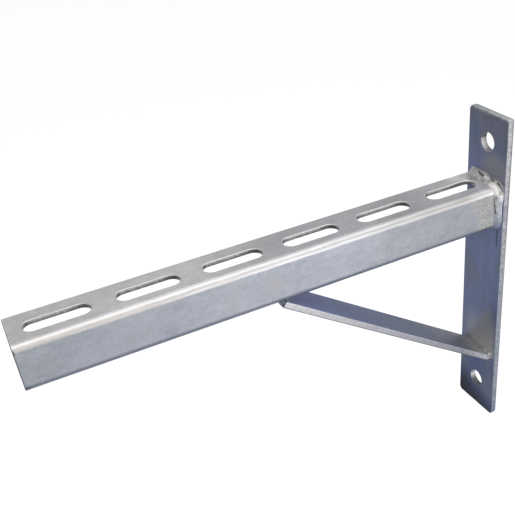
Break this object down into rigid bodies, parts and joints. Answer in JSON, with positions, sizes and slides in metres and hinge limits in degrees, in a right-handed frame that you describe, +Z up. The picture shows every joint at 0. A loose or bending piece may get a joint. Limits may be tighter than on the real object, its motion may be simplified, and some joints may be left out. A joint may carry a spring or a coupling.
{
  "type": "cantilever strut arm",
  "caption": "Wall bracket of galvanised steel: a flat plate with bolt holes, a slotted channel arm and a sloping flat bar brace welded below it.",
  "frame": {"origin": "midway between the centres of the two bolt holes, on the back face of the wall plate", "axes": "+X out from the wall along the arm, +Z up along the wall plate, +Y towards the side with the arm's closed web"},
  "size_m": [0.416, 0.05, 0.308],
  "materials": {
    "galvanised_plate": "hot-dip galvanised",
    "galvanised_sheet": "hot-dip galvanised",
    "galvanised_bar": "hot-dip galvanised",
    "weld_metal": "galvanised over the weld, rough"
  },
  "bodies": {
    "root": {"wall_plate": "galvanised_plate", "arm_channel": "galvanised_sheet", "brace_bar": "galvanised_bar", "arm_weld": "weld_metal", "brace_head_weld_inner": "weld_metal", "brace_head_weld_outer": "weld_metal", "brace_foot_weld_top": "weld_metal", "brace_foot_weld_under": "weld_metal"}
  },
  "joints": []
}
